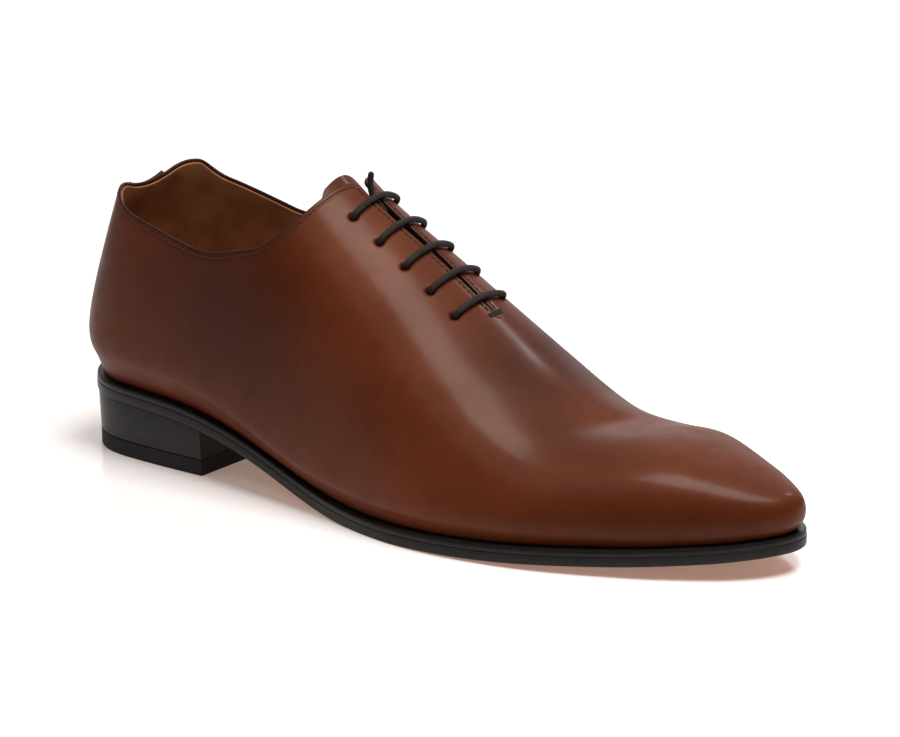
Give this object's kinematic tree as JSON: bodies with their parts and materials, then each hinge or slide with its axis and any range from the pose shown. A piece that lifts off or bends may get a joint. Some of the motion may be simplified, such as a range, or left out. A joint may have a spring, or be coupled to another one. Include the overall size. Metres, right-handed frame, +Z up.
{
  "type": "oxford shoe",
  "caption": "Right plain one-piece oxford dress shoe with closed lacing, hollow leather upper, thin black-edged leather sole and stacked heel.",
  "frame": {"origin": "middle of the heel's flat tread, on the floor", "axes": "+X towards the toe, +Y towards the inner side of the foot, +Z up"},
  "size_m": [0.3032, 0.1024, 0.1155],
  "materials": {
    "upper_leather": "polished box calf, dyed and waxed by hand, semi-gloss",
    "tab_leather": "polished calf, semi-gloss",
    "tongue_leather": "polished calf, soft gloss",
    "lining_leather": "vegetable-tanned lining leather, matt",
    "welt_leather": "black edge ink, waxed",
    "sole_leather": "black waxed edge, tan bottom",
    "heel_leather": "stacked leather with a black waxed edge",
    "lift_rubber": "matt",
    "lace_cotton": "waxed round cord"
  },
  "bodies": {
    "root": {"upper": "upper_leather", "heel_tab": "tab_leather", "tongue": "tongue_leather", "insole": "lining_leather", "welt": "welt_leather", "outsole": "sole_leather", "heel_block": "heel_leather", "top_lift": "lift_rubber", "lace": "lace_cotton", "lace_end": "lace_cotton"}
  },
  "joints": []
}
